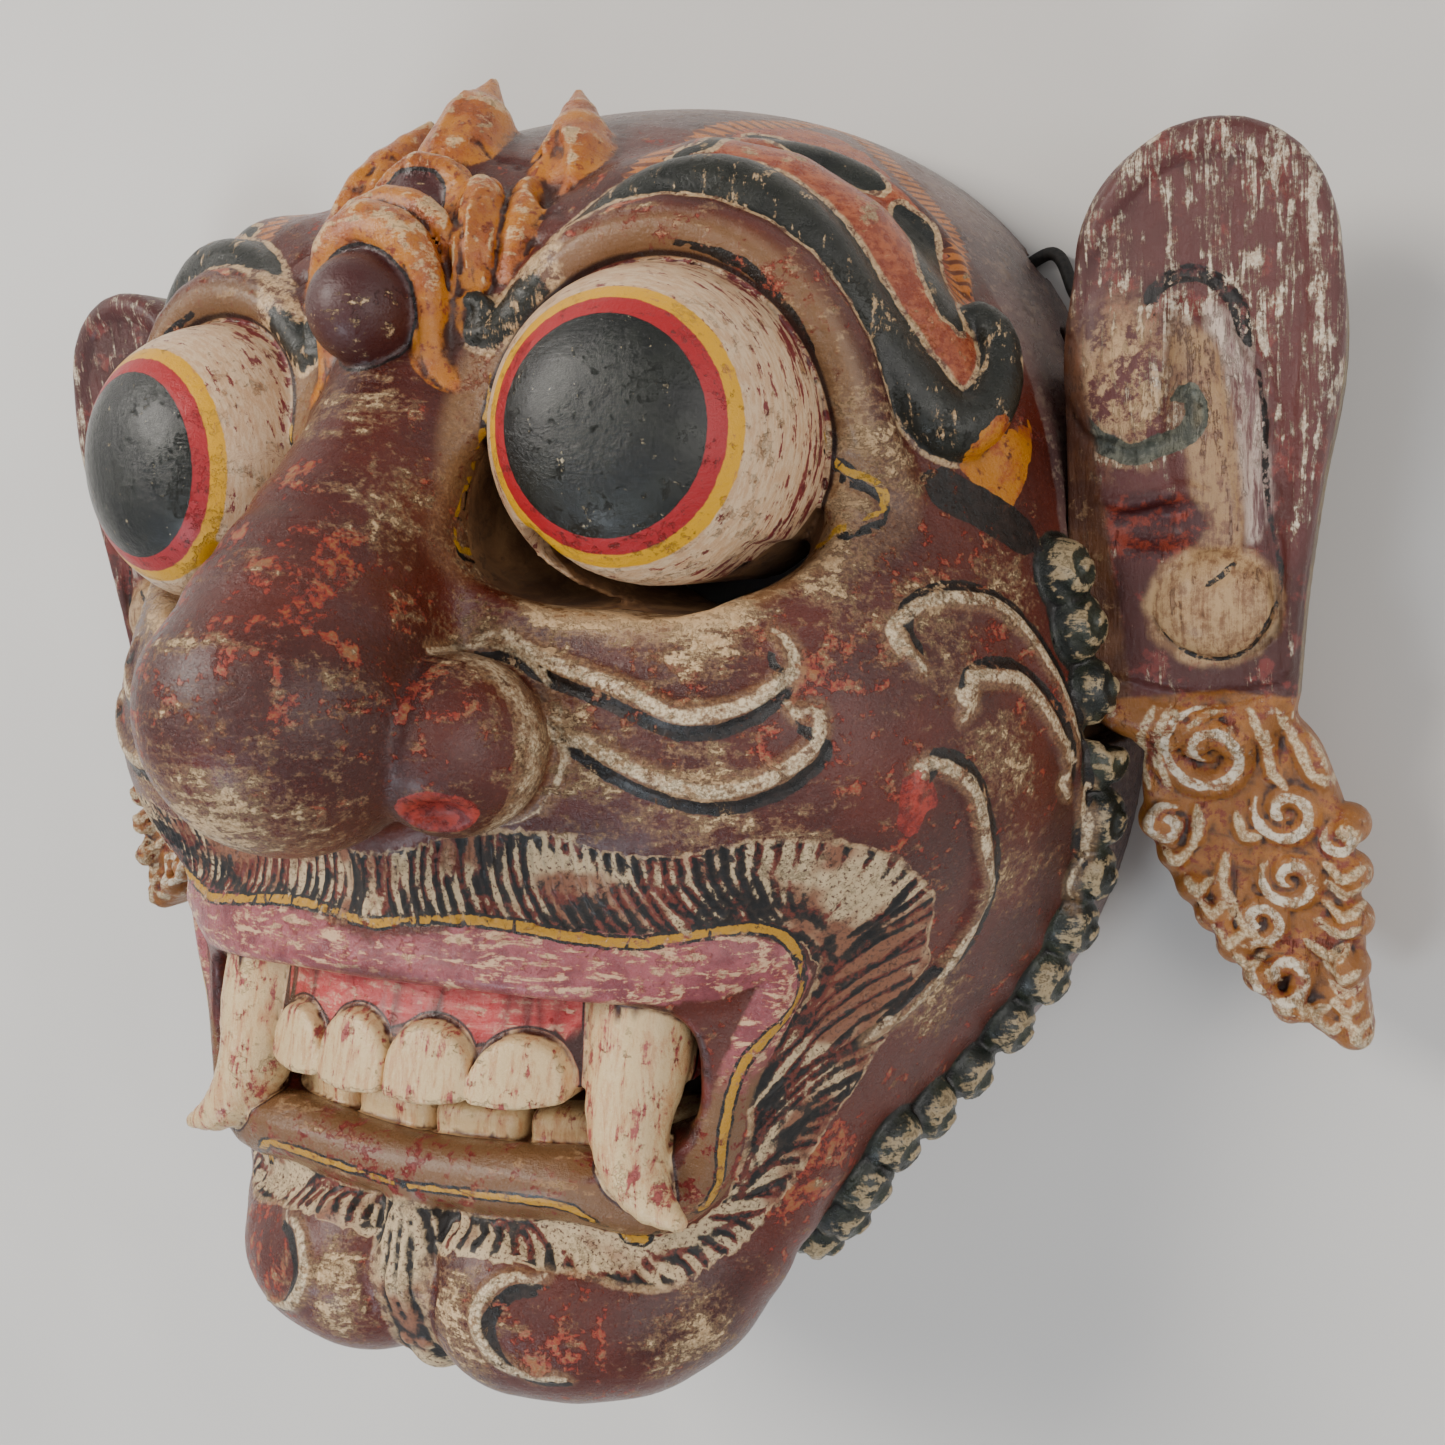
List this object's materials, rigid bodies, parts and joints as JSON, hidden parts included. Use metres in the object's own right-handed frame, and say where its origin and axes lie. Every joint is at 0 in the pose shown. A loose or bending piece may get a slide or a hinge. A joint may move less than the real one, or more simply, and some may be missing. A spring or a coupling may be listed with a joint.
{
  "type": "rakshasa mask",
  "caption": "Carved and painted demon face mask with bulging eyes, fangs, a leafy crest and large scrolled ears, hollow behind with sight slits under the eyes.",
  "frame": {"origin": "middle of the mask's outline on the plane that its rim rests on", "axes": "+Z out of the face, +Y towards the crown, +X towards the mask's own left ear"},
  "size_m": [0.3096, 0.2462, 0.1473],
  "materials": {
    "painted_wood": "worn gloss paint in dark maroon over vermilion and cream ground, chipped to the ground on the ridges",
    "ear_wood": "worn maroon paint with cream streaks where it has rubbed through",
    "thong": "plain black, matt"
  },
  "bodies": {
    "root": {"mask": "painted_wood", "ear_left": "ear_wood", "ear_right": "ear_wood", "thong_left": "thong", "thong_right": "thong"}
  },
  "joints": []
}
